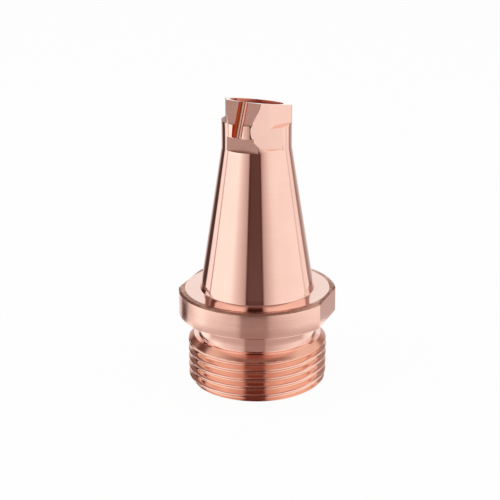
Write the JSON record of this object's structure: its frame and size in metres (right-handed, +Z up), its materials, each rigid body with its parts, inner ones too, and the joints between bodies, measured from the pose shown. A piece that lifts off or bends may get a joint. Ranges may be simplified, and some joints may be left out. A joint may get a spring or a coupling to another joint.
{
  "type": "laser welding nozzle",
  "caption": "Turned copper laser welding nozzle: threaded shank, spanner flange, long cone and a milled head with a sloping mouth and a wire groove.",
  "frame": {"origin": "centre of the base face of the threaded shank, on the turning axis", "axes": "+Z up the axis from the threaded end to the mouth; -Y is the side the picture is taken from; +X is to its right"},
  "size_m": [0.018, 0.018, 0.0331],
  "materials": {
    "copper": "bright turned copper with fine turning marks"
  },
  "bodies": {
    "root": {"nozzle": "copper"}
  },
  "joints": []
}
